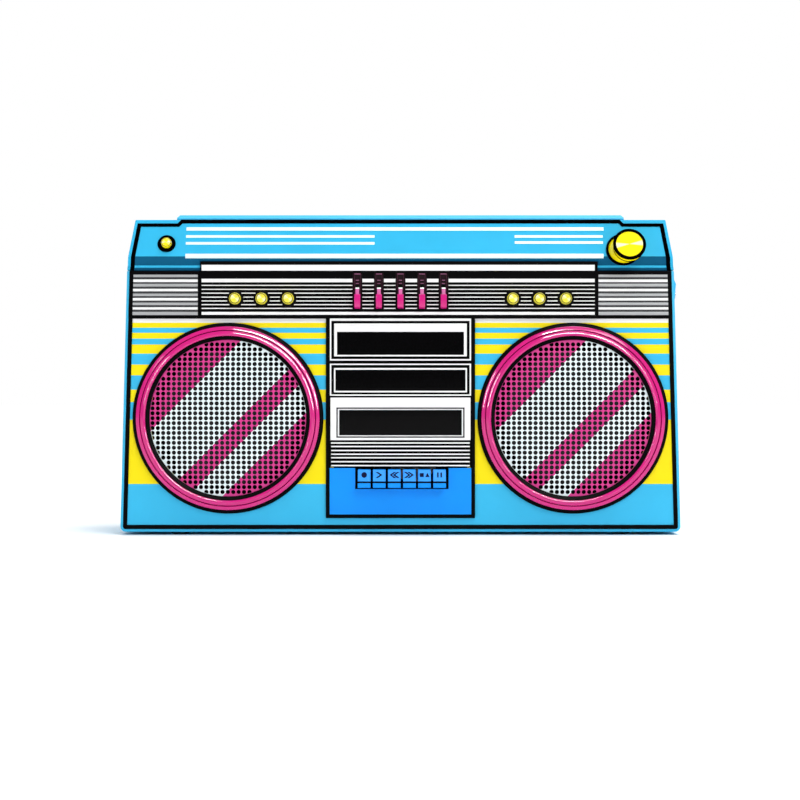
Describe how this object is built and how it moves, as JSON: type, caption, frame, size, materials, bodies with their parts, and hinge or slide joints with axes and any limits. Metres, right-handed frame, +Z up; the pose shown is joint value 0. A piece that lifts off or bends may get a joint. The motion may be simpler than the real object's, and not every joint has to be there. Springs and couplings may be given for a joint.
{
  "type": "portable stereo cassette radio",
  "caption": "Wide boombox: round speakers either side of a tape door and piano keys, slider and knob row above, sloping hood, folding carrying handle and telescopic antenna behind.",
  "frame": {"origin": "on the supporting surface, under the middle of the bounding box, with the handle folded and the antenna stowed", "axes": "+X to the right of someone facing the speakers, -Y towards that person, +Z up"},
  "size_m": [0.606, 0.176, 0.347],
  "materials": {
    "case_blue": "moulded cyan plastic, satin",
    "dark_blue": "dark cyan trim, satin",
    "key_blue": "bright blue plastic, satin",
    "magenta": "glossy magenta plastic",
    "yellow": "glossy yellow plastic",
    "white": "white plastic, satin",
    "black": "black plastic, fine grain",
    "smoked": "near-black smoked acrylic, polished",
    "silver": "silver-painted trim",
    "chrome": "polished plating",
    "steel": "zinc-plated sheet",
    "brass": "bare contacts",
    "paper": "doped paper cone",
    "dial": "printed scale",
    "rubber": "moulded rubber",
    "board": "circuit board",
    "copper": "varnished winding on a laminated core"
  },
  "bodies": {
    "case": {"front_shell": "case_blue", "rear_shell": "case_blue", "top_panel": "case_blue", "jack_plate": "case_blue", "key_panel": "key_blue", "left_speaker_ring": "magenta", "right_speaker_ring": "magenta", "window_fascia": "white", "left_speaker_grille": "white", "right_speaker_grille": "white", "control_panel": "black", "mains_inlet": "black", "tuner_window": "smoked", "meter_window": "smoked", "left_end_trim": "silver", "right_end_trim": "silver", "left_woofer_basket": "steel", "right_woofer_basket": "steel", "deck_chassis": "steel", "tuner_dial": "dial", "level_meter": "dial", "front_left_foot": "rubber", "front_right_foot": "rubber", "rear_left_foot": "rubber", "rear_right_foot": "rubber", "control_board": "board", "transformer": "copper"},
    "battery_cover": {"battery_cover": "case_blue"},
    "handle": {"handle": "case_blue"},
    "left_woofer_cone": {"left_woofer_cone": "paper"},
    "right_woofer_cone": {"right_woofer_cone": "paper"},
    "tuning_knob": {"tuning_knob": "yellow"},
    "dial_pointer": {"dial_pointer": "magenta"},
    "power_button": {"power_button": "yellow"},
    "volume_knob": {"volume_knob": "yellow"},
    "balance_knob": {"balance_knob": "yellow"},
    "tone_knob": {"tone_knob": "yellow"},
    "tape_button": {"tape_button": "yellow"},
    "radio_button": {"radio_button": "yellow"},
    "line_in_button": {"line_in_button": "yellow"},
    "low_bass_slider": {"low_bass_slider": "magenta"},
    "bass_slider": {"bass_slider": "magenta"},
    "middle_slider": {"middle_slider": "magenta"},
    "treble_slider": {"treble_slider": "magenta"},
    "high_treble_slider": {"high_treble_slider": "magenta"},
    "cassette_door": {"cassette_door": "white", "cassette_window": "smoked"},
    "supply_spindle": {"supply_spindle": "white"},
    "take_up_spindle": {"take_up_spindle": "white"},
    "capstan_flywheel": {"capstan_flywheel": "steel"},
    "record_key": {"record_key": "key_blue"},
    "play_key": {"play_key": "key_blue"},
    "rewind_key": {"rewind_key": "key_blue"},
    "fast_forward_key": {"fast_forward_key": "key_blue"},
    "stop_eject_key": {"stop_eject_key": "key_blue"},
    "pause_key": {"pause_key": "key_blue"},
    "antenna_swivel": {"antenna_swivel": "chrome"},
    "antenna_tube": {"antenna_tube": "chrome"},
    "antenna_middle": {"antenna_middle": "chrome"},
    "antenna_tip": {"antenna_tip": "chrome"}
  },
  "joints": [
    {"name": "handle_swing", "type": "hinge", "parent": "case", "child": "handle", "pos_m": [0, 0.01, 0.337], "axis": [-1, 0, 0], "range_deg": [0, 180]},
    {"name": "battery_cover_hinge", "type": "hinge", "parent": "case", "child": "battery_cover", "pos_m": [0, 0.088, 0.017], "axis": [-1, 0, 0], "range_deg": [0, 95]},
    {"name": "left_woofer_travel", "type": "slide", "parent": "case", "child": "left_woofer_cone", "axis": [0, 1, 0], "range_m": [-0.003, 0.003], "stiffness_N_per_m": 1500},
    {"name": "right_woofer_travel", "type": "slide", "parent": "case", "child": "right_woofer_cone", "axis": [0, 1, 0], "range_m": [-0.003, 0.003], "stiffness_N_per_m": 1500},
    {"name": "tuning_turn", "type": "hinge", "parent": "case", "child": "tuning_knob", "pos_m": [0.2447, -0.06474, 0.3062], "axis": [0, 0.9475, -0.3197], "range_deg": [-540, 540]},
    {"name": "pointer_travel", "type": "slide", "parent": "case", "child": "dial_pointer", "axis": [1, 0, 0], "range_m": [-0.06, 0.06]},
    {"name": "power_press", "type": "slide", "parent": "case", "child": "power_button", "axis": [0, 0.9475, -0.3197], "range_m": [0, 0.0025], "stiffness_N_per_m": 400, "springref_m": -0.001},
    {"name": "volume_turn", "type": "hinge", "parent": "case", "child": "volume_knob", "pos_m": [-0.178, -0.07, 0.2547], "axis": [0, 1, 0], "range_deg": [-150, 150]},
    {"name": "balance_turn", "type": "hinge", "parent": "case", "child": "balance_knob", "pos_m": [-0.1495, -0.07, 0.2547], "axis": [0, 1, 0], "range_deg": [-150, 150]},
    {"name": "tone_turn", "type": "hinge", "parent": "case", "child": "tone_knob", "pos_m": [-0.121, -0.07, 0.2547], "axis": [0, 1, 0], "range_deg": [-150, 150]},
    {"name": "tape_press", "type": "slide", "parent": "case", "child": "tape_button", "axis": [0, 1, 0], "range_m": [0, 0.0025], "stiffness_N_per_m": 400, "springref_m": -0.001},
    {"name": "radio_press", "type": "slide", "parent": "case", "child": "radio_button", "axis": [0, 1, 0], "range_m": [0, 0.0025], "stiffness_N_per_m": 400, "springref_m": -0.001},
    {"name": "line_in_press", "type": "slide", "parent": "case", "child": "line_in_button", "axis": [0, 1, 0], "range_m": [0, 0.0025], "stiffness_N_per_m": 400, "springref_m": -0.001},
    {"name": "low_bass_slide", "type": "slide", "parent": "case", "child": "low_bass_slider", "axis": [0, 0, 1], "range_m": [0, 0.015]},
    {"name": "bass_slide", "type": "slide", "parent": "case", "child": "bass_slider", "axis": [0, 0, 1], "range_m": [0, 0.015]},
    {"name": "middle_slide", "type": "slide", "parent": "case", "child": "middle_slider", "axis": [0, 0, 1], "range_m": [0, 0.015]},
    {"name": "treble_slide", "type": "slide", "parent": "case", "child": "treble_slider", "axis": [0, 0, 1], "range_m": [0, 0.015]},
    {"name": "high_treble_slide", "type": "slide", "parent": "case", "child": "high_treble_slider", "axis": [0, 0, 1], "range_m": [0, 0.015]},
    {"name": "cassette_door_hinge", "type": "hinge", "parent": "case", "child": "cassette_door", "pos_m": [0, -0.064, 0.0753], "axis": [1, 0, 0], "range_deg": [0, 35]},
    {"name": "supply_turn", "type": "hinge", "parent": "case", "child": "supply_spindle", "pos_m": [-0.02125, -0.042, 0.1125], "axis": [0, 1, 0], "continuous": true},
    {"name": "take_up_turn", "type": "hinge", "parent": "case", "child": "take_up_spindle", "pos_m": [0.02125, -0.042, 0.1125], "axis": [0, 1, 0], "continuous": true},
    {"name": "flywheel_turn", "type": "hinge", "parent": "case", "child": "capstan_flywheel", "pos_m": [0.014, -0.042, 0.084], "axis": [0, 1, 0], "continuous": true},
    {"name": "record_press", "type": "hinge", "parent": "case", "child": "record_key", "pos_m": [-0.039, -0.044, 0.064], "axis": [1, 0, 0], "range_deg": [0, 8], "stiffness_Nm_per_rad": 0.5, "springref_deg": -2.86},
    {"name": "play_press", "type": "hinge", "parent": "case", "child": "play_key", "pos_m": [-0.0228, -0.044, 0.064], "axis": [1, 0, 0], "range_deg": [0, 8], "stiffness_Nm_per_rad": 0.5, "springref_deg": -2.86},
    {"name": "rewind_press", "type": "hinge", "parent": "case", "child": "rewind_key", "pos_m": [-0.0066, -0.044, 0.064], "axis": [1, 0, 0], "range_deg": [0, 8], "stiffness_Nm_per_rad": 0.5, "springref_deg": -2.86},
    {"name": "fast_forward_press", "type": "hinge", "parent": "case", "child": "fast_forward_key", "pos_m": [0.0096, -0.044, 0.064], "axis": [1, 0, 0], "range_deg": [0, 8], "stiffness_Nm_per_rad": 0.5, "springref_deg": -2.86},
    {"name": "stop_eject_press", "type": "hinge", "parent": "case", "child": "stop_eject_key", "pos_m": [0.0258, -0.044, 0.064], "axis": [1, 0, 0], "range_deg": [0, 8], "stiffness_Nm_per_rad": 0.5, "springref_deg": -2.86},
    {"name": "pause_press", "type": "hinge", "parent": "case", "child": "pause_key", "pos_m": [0.042, -0.044, 0.064], "axis": [1, 0, 0], "range_deg": [0, 8], "stiffness_Nm_per_rad": 0.5, "springref_deg": -2.86},
    {"name": "antenna_turn", "type": "hinge", "parent": "case", "child": "antenna_swivel", "pos_m": [0.262, 0.076, 0.326], "axis": [0, 0, -1], "range_deg": [0, 180]},
    {"name": "antenna_tilt", "type": "hinge", "parent": "antenna_swivel", "child": "antenna_tube", "pos_m": [0.262, 0.076, 0.3345], "axis": [0, 1, 0], "range_deg": [0, 90]},
    {"name": "antenna_middle_pull", "type": "slide", "parent": "antenna_tube", "child": "antenna_middle", "axis": [-1, 0, 0], "range_m": [0, 0.22]},
    {"name": "antenna_tip_pull", "type": "slide", "parent": "antenna_middle", "child": "antenna_tip", "axis": [-1, 0, 0], "range_m": [0, 0.22]}
  ],
  "couplings": [
    {"joint": "pointer_travel", "follows": "tuning_turn", "m_per_rad": 0.0063662},
    {"joint": "take_up_turn", "follows": "flywheel_turn", "ratio": 0.3}
  ]
}
